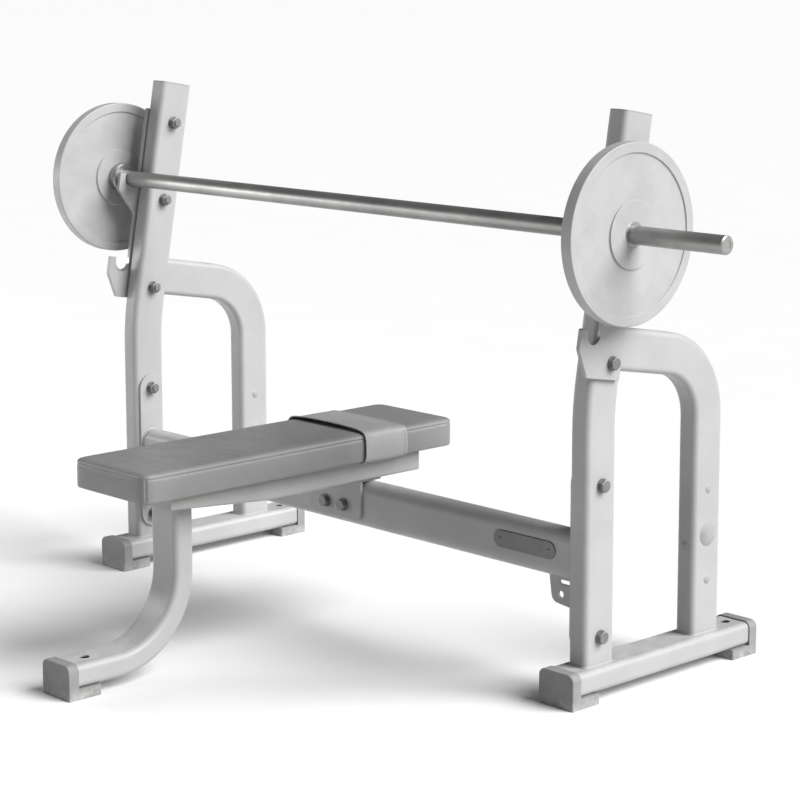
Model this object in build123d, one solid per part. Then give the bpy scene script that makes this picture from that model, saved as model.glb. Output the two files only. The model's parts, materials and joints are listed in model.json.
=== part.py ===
from build123d import *
import os
from math import cos, radians, sin, tan

os.makedirs("parts", exist_ok=True)

# Olympic bench press with its barbell.
# Frame: X across the bench, Y from the foot end (-Y) to the head end (+Y), Z up.
# Origin: on the floor, in the mid-plane, half way along the depth. Millimetres.

# ---- frame tube: flat-sided oval 90 x 50, used for bases, uprights and legs ----
TUBE_WIDE = 90.0
TUBE_NARROW = 50.0
TUBE_RADIUS = 13.0
WALL = 3.0
HALF_WIDE = TUBE_WIDE / 2
HALF_NARROW = TUBE_NARROW / 2

# ---- overall layout ----
FRAME_X = 758.5          # centre of each side frame
HALF_DEPTH = 652.0       # foot end and head end of the floor feet
BASE_FRONT = 53.5        # front face of the side frames' front feet
SOLE = 22.5              # rubber under the base tubes
BASE_TOP = SOLE + TUBE_NARROW
TUBE_AXIS_Z = SOLE + HALF_NARROW

# ---- uprights: vertical, then leaning back ----
UPRIGHT_Y = 160.0
BEND_Z = 619.0           # where the vertical and leaning axes cross
LEAN = 10.0              # degrees
BEND_RADIUS = 650.0
LEAN_LENGTH = 597.0      # along the lean, from the crossing to the cut top
CAP_FLANGE = 3.0
CAP_PLUG = 18.0

# ---- rear legs ----
LEG_Y = 502.5
LEG_START = 117.0        # along the lean
LEG_RADIUS = 150.0
LEG_PLUG_Z = 291.0
LEG_PLUG_PITCH = 100.0
FRONT_PLUG_Z = 269.0

# ---- hook plates, in lean coordinates: back from the axis, up along the lean ----
PLATE_THICK = 10.0
PLATE_BACK = 29.0
PLATE_FRONT = 46.0
PLATE_LOW = 53.5
PLATE_HIGH = 529.5
NOTCH_RADIUS = 20.0
HORN_THICK = 18.0
HORN_RISE = 10.0         # horn top above the notch centre
HORN_DROP = 33.0         # outer kink below the notch centre
UPPER_NOTCH = 351.0
LOWER_NOTCH = 142.0
UPPER_HOOK_FOOT = 265.0
LOWER_HOOK_FOOT = 71.5   # forward of the axis, at the plate's lower edge
HOOK_BOLTS = (88.0, 308.0, 501.0)

# ---- crossbeam and what it carries ----
BEAM_DEEP = 56.0
BEAM_TALL = 108.0
BEAM_Z = 295.0
END_PLATE_THICK = 6.0
END_PLATE_WIDE = 68.0
END_PLATE_Z = 293.0
BEAM_BOLT_PITCH = 320.0
NAME_PLATE = (178.0, 38.0, 2.5)
NAME_PLATE_X = 593.5
NAME_PLATE_Z = 299.5
ACCESSORY_THICK = 6.0
ACCESSORY_HOLE = (675.0, 202.0)
ACCESSORY_HOLE_RADIUS = 8.0
ACCESSORY_SLOT_Z = 229.5
ACCESSORY_SLOT = (670.5, 715.0)
ACCESSORY_SLOT_TALL = 10.0

# ---- bench: rail, bracket, leg and pad ----
RAIL_HALF = 100.0
RAIL_SHEET = 3.0
RAIL_TOP = 405.0
RAIL_LOW = 355.0
RAIL_NOSE = 376.0        # underside height at the foot end
RAIL_FRONT = -420.0
RAIL_TAPER = -152.0
RAIL_REAR = 297.0
BRACKET_THICK = 6.0
BRACKET_HALF = 88.0
BRACKET_LOW = 259.0
BRACKET_BOLT_X = 30.0
BRACKET_BOLT_Z = 289.0
LEG_CENTRE_Y = -342.0
LEG_BEND = 175.0
PAD_WIDE = 258.0
PAD_FRONT = -510.0
PAD_REAR = 387.0
PAD_TOP = 470.0
PAD_CORNER = 24.0
BOARD_THICK = 15.0
BOARD_INSET = 9.0
WRAP_FRONT = 101.0
WRAP_REAR = 232.0
WRAP_THICK = 3.2
WRAP_LIP = 22.0
SOFT_GAP = 0.3
PAD_SCREWS_Y = (-110.0, 60.0, 265.0)
PAD_SCREW_X = 60.0

# ---- feet ----
CAP_WALL = 3.0
CAP_DEEP = 25.0
LIP_GAP = 1.3            # open ring round the tube at the cap's mouth
LIP_DEEP = 3.0
SOLE_LONG = 82.0
REAR_HOLE_Y = 600.0
LEG_HOLE_Y = -578.0
ACCESS_RADIUS = 11.0
SCREW_RADIUS = 4.0

# ---- barbell ----
BAR_RADIUS = 19.0
BAR_LENGTH = 2200.0
COLLAR_RADIUS = 35.0
COLLAR_LONG = 20.0
COLLAR_END = 835.0
WEIGHT_RADIUS = 185.0
WEIGHT_THICK = 29.0      # over the hubs
RIM_THICK = 27.0
WEB_THICK = 21.0
HUB_RADIUS = 70.0
RIM_INNER = 163.5
BUSH_RADIUS = 26.0
RUNNING = 0.05           # radial clearance of the plate bushes on the bar
GROOVE = (1.5, 0.4)      # width and depth of the fine groove outside each plate
GROOVE_X = 866.5

# ---- fasteners: M16 for the frame ----
BOLT = 8.0               # shank radius
BOLT_HOLE = 8.5
HEX = 24.0
HEAD = 10.0
NUT = 13.0
WASHER = 3.0
WASHER_RADIUS = 15.0

INNER_FACE = FRAME_X - HALF_NARROW
OUTER_FACE = FRAME_X + HALF_NARROW
BEAM_FRONT = UPRIGHT_Y - BEAM_DEEP / 2
BEAM_TOP = BEAM_Z + BEAM_TALL / 2
BEAM_HALF = INNER_FACE - END_PLATE_THICK
SIN = sin(radians(LEAN))
COS = cos(radians(LEAN))

# Local X points back across the lean, local Y up along it, local Z out along +X.
LEAN_PLANE = Plane(origin=(0, UPRIGHT_Y, BEND_Z), x_dir=(0, COS, -SIN), z_dir=(1, 0, 0))

NODES = {}


def lean_point(back, along, x=0.0):
    """World position of a point given in lean coordinates."""
    return (x, UPRIGHT_Y + along * SIN + back * COS, BEND_Z + along * COS - back * SIN)


def mirrored(shape):
    return mirror(shape, about=Plane.YZ)


def both_sides(name, right_shape):
    """One node for each side frame, the left one mirrored."""
    NODES["right_" + name] = right_shape
    NODES["left_" + name] = mirrored(right_shape)


def group(name, shapes):
    NODES[name] = Compound(children=list(shapes))


def ring(outer, inner, thick):
    return extrude(Circle(outer) - Circle(inner), thick)


def along_x(x, y, z, shape):
    """Turn a shape's own Z axis outwards, along +X."""
    return Pos(x, y, z) * Rot(0, 90, 0) * shape


def along_front(x, y, z, shape):
    """Turn a shape's own Z axis to the foot end, along -Y."""
    return Pos(x, y, z) * Rot(90, 0, 0) * shape


def hex_prism(across_flats, height):
    """Hexagon with its upper corners chamfered at 30 degrees."""
    prism = extrude(RegularPolygon(across_flats / 2, 6, major_radius=False), height)
    top = 0.475 * across_flats
    cone = Cone(top + height / tan(radians(30)), top, height, align=(Align.CENTER, Align.CENTER, Align.MIN))
    return prism & cone


def hex_bolt(length):
    shank = Pos(0, 0, -length) * extrude(Circle(BOLT), length)
    tip = shank.edges().sort_by(Axis.Z)[0]
    return hex_prism(HEX, HEAD) + chamfer(tip, 1.0)


def hex_nut():
    return hex_prism(HEX, NUT) - Cylinder(BOLT, 3 * NUT)


def washer():
    return ring(WASHER_RADIUS, BOLT_HOLE, WASHER)


def hole_x(y, z, radius, x=FRAME_X, length=4 * TUBE_NARROW):
    return along_x(x, y, z, Cylinder(radius, length))


def slot_solid(length, height, thick):
    return extrude(SlotOverall(length, height), thick)


def swept(path, across_x, across, radius):
    start = Plane(origin=path @ 0, x_dir=(1, 0, 0), z_dir=path % 0)
    return sweep(start * RectangleRounded(across_x, across, radius), path=path)


def bent_tube(path, across_x, across):
    """Outer envelope and hollow tube along a path in a plane of constant X."""
    outer = swept(path, across_x, across, TUBE_RADIUS)
    inner = swept(path, across_x - 2 * WALL, across - 2 * WALL, TUBE_RADIUS - WALL)
    return outer, outer - inner


# ---------------------------------------------------------------- side frames
def base_tube():
    front = BASE_FRONT + CAP_WALL
    rear = HALF_DEPTH - CAP_WALL
    outer = RectangleRounded(TUBE_WIDE, TUBE_NARROW, TUBE_RADIUS)
    inner = RectangleRounded(TUBE_WIDE - 2 * WALL, TUBE_NARROW - 2 * WALL, TUBE_RADIUS - WALL)
    start = Plane(origin=(FRAME_X, front, TUBE_AXIS_Z), x_dir=(1, 0, 0), z_dir=(0, 1, 0))
    tube = extrude(start * (outer - inner), rear - front)
    tube -= Pos(FRAME_X, REAR_HOLE_Y, BASE_TOP) * Cylinder(ACCESS_RADIUS, 4 * WALL)
    tube -= Pos(FRAME_X, REAR_HOLE_Y, SOLE) * Cylinder(SCREW_RADIUS, 4 * WALL)
    return tube


def upright_path():
    top = lean_point(0, LEAN_LENGTH, FRAME_X)
    corner = (FRAME_X, UPRIGHT_Y, BEND_Z)
    return FilletPolyline((FRAME_X, UPRIGHT_Y, BASE_TOP), corner, top, radius=BEND_RADIUS)


def upright():
    envelope, tube = bent_tube(upright_path(), TUBE_NARROW, TUBE_WIDE)
    for along in HOOK_BOLTS:
        _, y, z = lean_point(0, along)
        tube -= hole_x(y, z, BOLT_HOLE)
    for z in beam_bolt_heights():
        tube -= hole_x(UPRIGHT_Y, z, BOLT_HOLE)
    return envelope, tube


def beam_bolt_heights():
    return (END_PLATE_Z - BEAM_BOLT_PITCH / 2, END_PLATE_Z + BEAM_BOLT_PITCH / 2)


def upright_cap():
    top = Plane(origin=lean_point(0, LEAN_LENGTH, FRAME_X), x_dir=(1, 0, 0), z_dir=(0, SIN, COS))
    flange = extrude(RectangleRounded(TUBE_NARROW, TUBE_WIDE, TUBE_RADIUS), CAP_FLANGE)
    flange = chamfer(flange.faces().sort_by(Axis.Z)[-1].edges(), 1.2)
    inside = WALL + 0.2
    plug = RectangleRounded(TUBE_NARROW - 2 * inside, TUBE_WIDE - 2 * inside, TUBE_RADIUS - inside)
    core = RectangleRounded(TUBE_NARROW - 14, TUBE_WIDE - 14, TUBE_RADIUS - 7)
    return top.location * (flange + extrude(plug - core, -CAP_PLUG))


def leg_path():
    start = lean_point(0, LEG_START, FRAME_X)
    corner = (FRAME_X, LEG_Y, start[2] - (LEG_Y - start[1]) * tan(radians(LEAN)))
    return FilletPolyline(start, corner, (FRAME_X, LEG_Y, BASE_TOP), radius=LEG_RADIUS)


def plug_places():
    """Small and large cover plugs of the right leg: centre and outward direction."""
    small = []
    large = []
    for side in (-1, 1):
        x = FRAME_X + side * HALF_NARROW
        large.append(((x, LEG_Y, LEG_PLUG_Z), Rot(0, 90 * side, 0)))
        for step in (-1, 1):
            small.append(((x, LEG_Y, LEG_PLUG_Z + step * LEG_PLUG_PITCH), Rot(0, 90 * side, 0)))
    small.append(((FRAME_X, LEG_Y - HALF_WIDE, FRONT_PLUG_Z), Rot(90, 0, 0)))
    return small, large


def rear_leg(upright_envelope):
    _, tube = bent_tube(leg_path(), TUBE_NARROW, TUBE_WIDE)
    tube -= upright_envelope
    small, large = plug_places()
    for places, radius in ((small, 8.0), (large, 22.0)):
        for centre, turn in places:
            tube -= Pos(*centre) * turn * Cylinder(radius, 4 * WALL)
    return tube


def plug(radius, stem, rise):
    """Domed cover plug, its flange resting on the plane Z = 0."""
    sphere = (radius ** 2 + rise ** 2) / (2 * rise)
    dome = Pos(0, 0, rise - sphere) * Sphere(sphere)
    cap = dome & Pos(0, 0, rise / 2) * Box(4 * radius, 4 * radius, rise)
    return cap + Pos(0, 0, -2.5 * WALL) * ring(stem, stem - 2.0, 2.5 * WALL)


def hook_profile():
    front = -PLATE_FRONT
    tip = front - 2 * NOTCH_RADIUS - HORN_THICK
    width = PLATE_BACK + PLATE_FRONT
    height = PLATE_HIGH - PLATE_LOW
    body = Pos((PLATE_BACK + front) / 2, (PLATE_HIGH + PLATE_LOW) / 2) * Rectangle(width, height)
    upper = [
        (front, UPPER_NOTCH + HORN_RISE),
        (tip, UPPER_NOTCH + HORN_RISE),
        (tip, UPPER_NOTCH - HORN_DROP),
        (front, UPPER_HOOK_FOOT),
    ]
    lower = [
        (front, LOWER_NOTCH + HORN_RISE),
        (tip, LOWER_NOTCH + HORN_RISE),
        (tip, LOWER_NOTCH - HORN_DROP),
        (-LOWER_HOOK_FOOT, PLATE_LOW),
        (front, PLATE_LOW),
    ]
    profile = body + make_face(Polyline(*upper, close=True)) + make_face(Polyline(*lower, close=True))
    for notch in (UPPER_NOTCH, LOWER_NOTCH):
        centre = front - NOTCH_RADIUS
        profile -= Pos(centre, notch) * Circle(NOTCH_RADIUS)
        profile -= Pos(centre, notch + HORN_RISE) * Rectangle(2 * NOTCH_RADIUS, 2 * HORN_RISE)
    corners = profile.vertices().filter_by(lambda v: v.X < tip + 1 or v.Y > PLATE_HIGH - 1 or v.Y < PLATE_LOW + 1)
    return fillet(corners, 4.0)


def hook_plate():
    plate = extrude(hook_profile(), PLATE_THICK)
    for along in HOOK_BOLTS:
        plate -= Pos(0, along, PLATE_THICK / 2) * Cylinder(BOLT_HOLE, 2 * PLATE_THICK)
    rim = plate.faces().sort_by(Axis.Z)[-1].edges() + plate.faces().sort_by(Axis.Z)[0].edges()
    plate = chamfer(rim, 0.8)
    return Pos(OUTER_FACE, 0, 0) * LEAN_PLANE.location * plate


def foot(screw_at=None):
    """Rubber foot: a cap over the tube's end with a sole running back under it.

    Its front face is at Y = 0 and the tube enters along -Y.
    """
    width = TUBE_WIDE + 2 * CAP_WALL
    height = BASE_TOP + CAP_WALL
    face = Plane.XZ.offset(0) * Pos(0, height / 2) * Rectangle(width, height)
    cap = extrude(face, -CAP_DEEP)
    top_edges = cap.edges().filter_by(Axis.Y).group_by(Axis.Z)[-1]
    cap = fillet(top_edges, TUBE_RADIUS + CAP_WALL)
    sole = Pos(0, SOLE_LONG / 2, SOLE / 2) * Box(width, SOLE_LONG, SOLE)
    sole = fillet(sole.edges().filter_by(Axis.Z).group_by(Axis.Y)[-1], 4.0)
    body = cap + sole
    body = fillet(body.faces().sort_by(Axis.Y)[0].edges(), 2.5)
    tube = RectangleRounded(TUBE_WIDE, TUBE_NARROW, TUBE_RADIUS)
    mouth = Plane(origin=(0, CAP_WALL, TUBE_AXIS_Z), x_dir=(1, 0, 0), z_dir=(0, 1, 0))
    body -= extrude(mouth * tube, SOLE_LONG)
    lip = RectangleRounded(TUBE_WIDE + 2 * LIP_GAP, TUBE_NARROW + 2 * LIP_GAP, TUBE_RADIUS + LIP_GAP)
    body -= extrude(mouth.offset(CAP_DEEP - CAP_WALL - LIP_DEEP) * lip, LIP_DEEP)
    if screw_at is not None:
        body -= Pos(0, screw_at, SOLE) * Cylinder(SCREW_RADIUS, SOLE)
    return body


def foot_screw():
    """Pan-head screw, its head's underside at Z = 0."""
    head = fillet(extrude(Circle(6.5), 4.0).edges().sort_by(Axis.Z)[-1], 2.0)
    recess = Pos(0, 0, 3.0) * extrude(RegularPolygon(2.5, 6), 2.0)
    return head - recess + Pos(0, 0, -WALL - SOLE / 2) * extrude(Circle(SCREW_RADIUS), WALL + SOLE / 2)


envelope, upright_tube = upright()
both_sides("base_tube", base_tube())
both_sides("upright", upright_tube)
both_sides("upright_cap", upright_cap())
both_sides("rear_leg", rear_leg(envelope))
both_sides("hook_plate", hook_plate())
both_sides("front_foot", Pos(FRAME_X, BASE_FRONT, 0) * foot())
rear_screw = HALF_DEPTH - REAR_HOLE_Y
both_sides("rear_foot", Pos(FRAME_X, HALF_DEPTH, 0) * Rot(0, 0, 180) * foot(rear_screw))
leg_screw = LEG_HOLE_Y + HALF_DEPTH
NODES["front_leg_foot"] = Pos(0, -HALF_DEPTH, 0) * foot(leg_screw)

screw_places = [(FRAME_X, REAR_HOLE_Y), (-FRAME_X, REAR_HOLE_Y), (0, LEG_HOLE_Y)]
group("foot_screws", [Pos(x, y, SOLE + WALL) * foot_screw() for x, y in screw_places])

small_places, large_places = plug_places()
small_plugs = [Pos(*centre) * turn * plug(10.0, 8.0, 3.0) for centre, turn in small_places]
large_plugs = [Pos(*centre) * turn * plug(26.0, 22.0, 6.0) for centre, turn in large_places]
group("small_leg_plugs", small_plugs + [mirrored(p) for p in small_plugs])
group("large_leg_plugs", large_plugs + [mirrored(p) for p in large_plugs])


# ------------------------------------------------------------------ crossbeam
def crossbeam():
    radius = BEAM_DEEP / 2 - 0.5
    outer = RectangleRounded(BEAM_DEEP, BEAM_TALL, radius)
    inner = RectangleRounded(BEAM_DEEP - 2 * WALL, BEAM_TALL - 2 * WALL, radius - WALL)
    section = Plane(origin=(-BEAM_HALF, UPRIGHT_Y, BEAM_Z), x_dir=(0, 1, 0), z_dir=(1, 0, 0))
    beam = extrude(section * outer, 2 * BEAM_HALF)
    tube = extrude(section * (outer - inner), 2 * BEAM_HALF)
    for side in (-1, 1):
        tube -= along_front(side * BRACKET_BOLT_X, BEAM_FRONT, BRACKET_BOLT_Z, Cylinder(BOLT_HOLE, 4 * WALL))
    for x in rivet_places():
        tube -= along_front(x, BEAM_FRONT, NAME_PLATE_Z, Cylinder(2.5, 4 * WALL))
    return beam, tube


def rivet_places():
    reach = NAME_PLATE[0] / 2 - NAME_PLATE[1] / 2
    return (NAME_PLATE_X - reach, NAME_PLATE_X + reach)


def end_plate():
    length = BEAM_BOLT_PITCH + END_PLATE_WIDE
    plate = Rot(0, 0, 90) * slot_solid(length, END_PLATE_WIDE, END_PLATE_THICK)
    for side in (-1, 1):
        plate -= Pos(0, side * BEAM_BOLT_PITCH / 2, 0) * Cylinder(BOLT_HOLE, 4 * END_PLATE_THICK)
    plate = chamfer(plate.faces().sort_by(Axis.Z)[0].edges(), 0.8)
    side_plane = Plane(origin=(BEAM_HALF, UPRIGHT_Y, END_PLATE_Z), x_dir=(0, 1, 0), z_dir=(1, 0, 0))
    return side_plane.location * plate


def accessory_plate(beam):
    """Drilled and slotted ear under the crossbeam, beside the upright."""
    high = BEAM_Z - BEAM_TALL / 2 + 5.0
    outline = [(641.5, high), (650.5, 183.5), (BEAM_HALF, 175.0), (BEAM_HALF, high)]
    face = make_face(Polyline(*outline, close=True))
    corner = face.vertices().sort_by_distance((650.5, 183.5))[0]
    face = fillet(corner, 18.0)
    face -= Pos(*ACCESSORY_HOLE) * Circle(ACCESSORY_HOLE_RADIUS)
    slot_middle = (ACCESSORY_SLOT[0] + ACCESSORY_SLOT[1]) / 2
    slot_long = ACCESSORY_SLOT[1] - ACCESSORY_SLOT[0]
    face -= Pos(slot_middle, ACCESSORY_SLOT_Z) * SlotOverall(slot_long, ACCESSORY_SLOT_TALL)
    plane = Plane(origin=(0, UPRIGHT_Y + ACCESSORY_THICK / 2, 0), x_dir=(1, 0, 0), z_dir=(0, -1, 0))
    return extrude(plane * face, ACCESSORY_THICK) - beam


def name_plate():
    plate = slot_solid(NAME_PLATE[0], NAME_PLATE[1], NAME_PLATE[2])
    plate = chamfer(plate.faces().sort_by(Axis.Z)[-1].edges(), 0.6)
    for x in rivet_places():
        plate -= Pos(x - NAME_PLATE_X, 0, 0) * Cylinder(2.5, 4 * NAME_PLATE[2])
    return along_front(NAME_PLATE_X, BEAM_FRONT, NAME_PLATE_Z, plate)


def rivet():
    """Domed rivet, its head's underside at Z = 0."""
    head = Sphere(5.3) & Pos(0, 0, 4.3) * Box(20, 20, 3.0)
    return Pos(0, 0, -2.8) * head + Pos(0, 0, -6.5) * extrude(Circle(2.5), 6.5)


beam_envelope, beam_tube = crossbeam()
NODES["crossbeam"] = beam_tube
both_sides("beam_end_plate", end_plate())
both_sides("accessory_plate", accessory_plate(beam_envelope))
NODES["name_plate"] = name_plate()
rivet_y = BEAM_FRONT - NAME_PLATE[2]
group("name_plate_rivets", [along_front(x, rivet_y, NAME_PLATE_Z, rivet()) for x in rivet_places()])


# ------------------------------------------------------------ frame fasteners
def through_bolts(name, places, outer, inner):
    """Bolts along X with the head outside, and a washer under head and nut."""
    bolts = []
    washers = []
    nuts = []
    length = outer - inner + 2 * WASHER + NUT + 4.0
    for y, z in places:
        bolts.append(along_x(outer + WASHER, y, z, hex_bolt(length)))
        washers.append(along_x(outer, y, z, washer()))
        washers.append(along_x(inner - WASHER, y, z, washer()))
        nuts.append(Pos(inner - WASHER, y, z) * Rot(0, -90, 0) * hex_nut())
    for kind, shapes in (("bolts", bolts), ("washers", washers), ("nuts", nuts)):
        group(name + "_" + kind, shapes + [mirrored(shape) for shape in shapes])


hook_places = [lean_point(0, along)[1:] for along in HOOK_BOLTS]
through_bolts("hook", hook_places, OUTER_FACE + PLATE_THICK, INNER_FACE)
beam_places = [(UPRIGHT_Y, z) for z in beam_bolt_heights()]
through_bolts("beam", beam_places, OUTER_FACE, BEAM_HALF)


# ---------------------------------------------------------------- bench frame
def rail_body(inset):
    """Tapered tray under the pad, or its hollow when inset by the sheet."""
    rise = inset
    points = [
        (RAIL_FRONT + inset, RAIL_TOP),
        (RAIL_FRONT + inset, RAIL_NOSE + rise),
        (RAIL_TAPER, RAIL_LOW + rise),
        (RAIL_REAR - inset, RAIL_LOW + rise),
        (RAIL_REAR - inset, RAIL_TOP),
    ]
    face = Plane.YZ * make_face(Polyline(*points, close=True))
    return extrude(face, RAIL_HALF - inset, both=True)


def pad_rail():
    outer = rail_body(0.0)
    lower = outer.edges().filter_by(lambda e: e.center().Z < RAIL_TOP - 30 and abs(e.center().X) > RAIL_HALF - 1)
    outer = fillet(lower, 6.0)
    tray = outer - rail_body(RAIL_SHEET)
    for side in (-1, 1):
        for y in PAD_SCREWS_Y:
            tray -= Pos(side * PAD_SCREW_X, y, RAIL_LOW) * Cylinder(SCREW_RADIUS + 0.5, 4 * RAIL_SHEET)
    return outer, tray


def beam_bracket():
    """Folded plate: its top lies on the crossbeam, its front drops over the face."""
    front = BEAM_FRONT - BRACKET_THICK
    rear = UPRIGHT_Y + BEAM_DEEP / 2
    high = BEAM_TOP + BRACKET_THICK
    points = [
        (rear, BEAM_TOP),
        (rear, high),
        (front, high),
        (front, BRACKET_LOW),
        (BEAM_FRONT, BRACKET_LOW),
        (BEAM_FRONT, BEAM_TOP),
    ]
    fold = extrude(Plane.YZ * make_face(Polyline(*points, close=True)), BRACKET_HALF, both=True)
    bend = fold.edges().filter_by(Axis.X).sort_by_distance((0, front, high))[0]
    fold = fillet(bend, BRACKET_THICK)
    corners = fold.edges().filter_by(Axis.Y).group_by(Axis.Z)[0]
    fold = fillet(corners, 20.0)
    for side in (-1, 1):
        fold -= along_front(side * BRACKET_BOLT_X, BEAM_FRONT, BRACKET_BOLT_Z, Cylinder(BOLT_HOLE, 40))
    return fold


def front_leg(rail):
    top = (0, LEG_CENTRE_Y, RAIL_TOP)
    corner = (0, LEG_CENTRE_Y, TUBE_AXIS_Z)
    toe = (0, -HALF_DEPTH + CAP_WALL, TUBE_AXIS_Z)
    _, tube = bent_tube(FilletPolyline(top, corner, toe, radius=LEG_BEND), TUBE_WIDE, TUBE_NARROW)
    keep = Pos(0, 0, RAIL_NOSE - 500) * Box(1000, 4000, 1000)
    tube = (tube & keep) - rail
    tube -= Pos(0, LEG_HOLE_Y, BASE_TOP) * Cylinder(ACCESS_RADIUS, 4 * WALL)
    tube -= Pos(0, LEG_HOLE_Y, SOLE) * Cylinder(SCREW_RADIUS, 4 * WALL)
    return tube


rail_envelope, rail = pad_rail()
NODES["pad_rail"] = rail
NODES["beam_bracket"] = beam_bracket()
NODES["front_leg"] = front_leg(rail_envelope)

bracket_front = BEAM_FRONT - BRACKET_THICK
bracket_xs = (-BRACKET_BOLT_X, BRACKET_BOLT_X)
bracket_bolt = hex_bolt(WASHER + BRACKET_THICK + WALL + NUT + 2.0)
group("bracket_bolts", [along_front(x, bracket_front - WASHER, BRACKET_BOLT_Z, bracket_bolt) for x in bracket_xs])
group("bracket_washers", [along_front(x, bracket_front, BRACKET_BOLT_Z, washer()) for x in bracket_xs])
weld_nut_y = BEAM_FRONT + WALL
group("bracket_weld_nuts", [Pos(x, weld_nut_y, BRACKET_BOLT_Z) * Rot(-90, 0, 0) * hex_nut() for x in bracket_xs])


# ------------------------------------------------------------------------ pad
def pad_block(inset, low, high):
    width = PAD_WIDE - 2 * inset
    length = PAD_REAR - PAD_FRONT - 2 * inset
    face = RectangleRounded(width, length, PAD_CORNER - inset)
    return Pos(0, (PAD_FRONT + PAD_REAR) / 2, low) * extrude(face, high - low)


def screw_grid():
    return [(side * PAD_SCREW_X, y) for side in (-1, 1) for y in PAD_SCREWS_Y]


def pad_board():
    board = pad_block(BOARD_INSET, RAIL_TOP, RAIL_TOP + BOARD_THICK)
    for x, y in screw_grid():
        board -= Pos(x, y, RAIL_TOP) * Cylinder(SCREW_RADIUS, 24.0)
    return board


def pad_cushion():
    cushion = pad_block(0.0, RAIL_TOP, PAD_TOP)
    cushion = fillet(cushion.faces().sort_by(Axis.Z)[-1].edges(), 8.0)
    pocket = pad_block(BOARD_INSET - SOFT_GAP, RAIL_TOP - 1, RAIL_TOP + BOARD_THICK + SOFT_GAP)
    return cushion - pocket


def pad_wrap():
    """Band over the pad's head end, its edges tucked under both sides."""
    inner_half = PAD_WIDE / 2 + SOFT_GAP
    outer_half = inner_half + WRAP_THICK
    low = RAIL_TOP - SOFT_GAP
    high = PAD_TOP + SOFT_GAP
    middle = (low + high) / 2
    outer = Pos(0, middle) * RectangleRounded(2 * outer_half, high - low + 2 * WRAP_THICK, 10.0)
    inner = Pos(0, middle) * Rectangle(2 * inner_half, high - low)
    mouth = Pos(0, low) * Rectangle(2 * (outer_half - WRAP_LIP), 4 * WRAP_THICK)
    start = Plane(origin=(0, WRAP_REAR, 0), x_dir=(1, 0, 0), z_dir=(0, -1, 0))
    return extrude(start * (outer - inner - mouth), WRAP_REAR - WRAP_FRONT)


def pad_screw():
    """Button-head screw pointing up, its washer seat at Z = 0."""
    head = fillet((Pos(0, 0, -4.5) * extrude(Circle(7.0), 4.5)).edges().sort_by(Axis.Z)[0], 3.0)
    recess = Pos(0, 0, -4.5) * extrude(RegularPolygon(2.5, 6), 2.0)
    return head - recess + extrude(Circle(SCREW_RADIUS), RAIL_TOP - RAIL_LOW + 12.0)


NODES["pad_board"] = pad_board()
NODES["pad_cushion"] = pad_cushion()
NODES["pad_wrap"] = pad_wrap()
group("pad_screws", [Pos(x, y, RAIL_LOW - 1.6) * pad_screw() for x, y in screw_grid()])
group("pad_screw_washers", [Pos(x, y, RAIL_LOW - 1.6) * ring(10.0, 4.5, 1.6) for x, y in screw_grid()])


# -------------------------------------------------------------------- barbell
_, BAR_Y, BAR_Z = lean_point(-PLATE_FRONT - NOTCH_RADIUS, UPPER_NOTCH - NOTCH_RADIUS + BAR_RADIUS + SOFT_GAP)


def on_bar(x, shape):
    return along_x(x, BAR_Y, BAR_Z, shape)


def bar():
    rod = Cylinder(BAR_RADIUS, BAR_LENGTH)
    ends = rod.edges().group_by(Axis.Z)
    rod = chamfer(ends[0] + ends[-1], 2.5)
    groove = Cylinder(BAR_RADIUS + 1, GROOVE[0]) - Cylinder(BAR_RADIUS - GROOVE[1], GROOVE[0])
    for side in (-1, 1):
        rod -= Pos(0, 0, side * BAR_LENGTH / 2) * Cylinder(9.0, 2.0)
        rod -= Pos(0, 0, side * GROOVE_X) * groove
    return on_bar(0, rod)


def collar():
    body = chamfer(extrude(Circle(COLLAR_RADIUS), COLLAR_LONG).edges(), 3.0)
    body -= Cylinder(BAR_RADIUS, 4 * COLLAR_LONG)
    body -= Pos(0, COLLAR_RADIUS, COLLAR_LONG / 2) * Rot(90, 0, 0) * Cylinder(SCREW_RADIUS, 12.0)
    return on_bar(COLLAR_END - COLLAR_LONG, body)


def weight_profile():
    """Half section: radius across, thickness up, symmetric about the middle."""
    hub, rim, web = WEIGHT_THICK / 2, RIM_THICK / 2, WEB_THICK / 2
    upper = [
        (BUSH_RADIUS, hub),
        (HUB_RADIUS - 0.6, hub),
        (HUB_RADIUS, web),
        (RIM_INNER - 0.5, web),
        (RIM_INNER, rim),
        (WEIGHT_RADIUS, rim),
    ]
    lower = [(radius, -height) for radius, height in reversed(upper)]
    face = make_face(Polyline(*upper, *lower, close=True))
    steps = [v for v in face.vertices() if HUB_RADIUS - 1 < v.X < RIM_INNER + 1]
    face = fillet(steps, 1.1)
    corners = [v for v in face.vertices() if v.X > WEIGHT_RADIUS - 0.1]
    return fillet(corners, 2.5)


def weight_plate():
    disc = revolve(Plane.XZ * weight_profile(), Axis.Z)
    return on_bar(COLLAR_END + SOFT_GAP + WEIGHT_THICK / 2, disc)


def plate_bush():
    bush = chamfer(extrude(Circle(BUSH_RADIUS), WEIGHT_THICK).edges(), 0.8)
    bush -= Cylinder(BAR_RADIUS + RUNNING, 4 * WEIGHT_THICK)
    return on_bar(COLLAR_END + SOFT_GAP, bush)


NODES["bar"] = bar()
both_sides("bar_collar", collar())
both_sides("weight_plate", weight_plate())
both_sides("plate_bush", plate_bush())


for name, shape in NODES.items():
    shape.label = name
    export_step(shape, os.path.join("parts", name + ".step"))
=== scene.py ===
"""Olympic bench press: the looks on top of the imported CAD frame. Metres, +Z up, X across the bench."""

import json
import math

import bmesh
import bpy
import numpy as np
from mathutils import Matrix, Vector, noise


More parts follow.
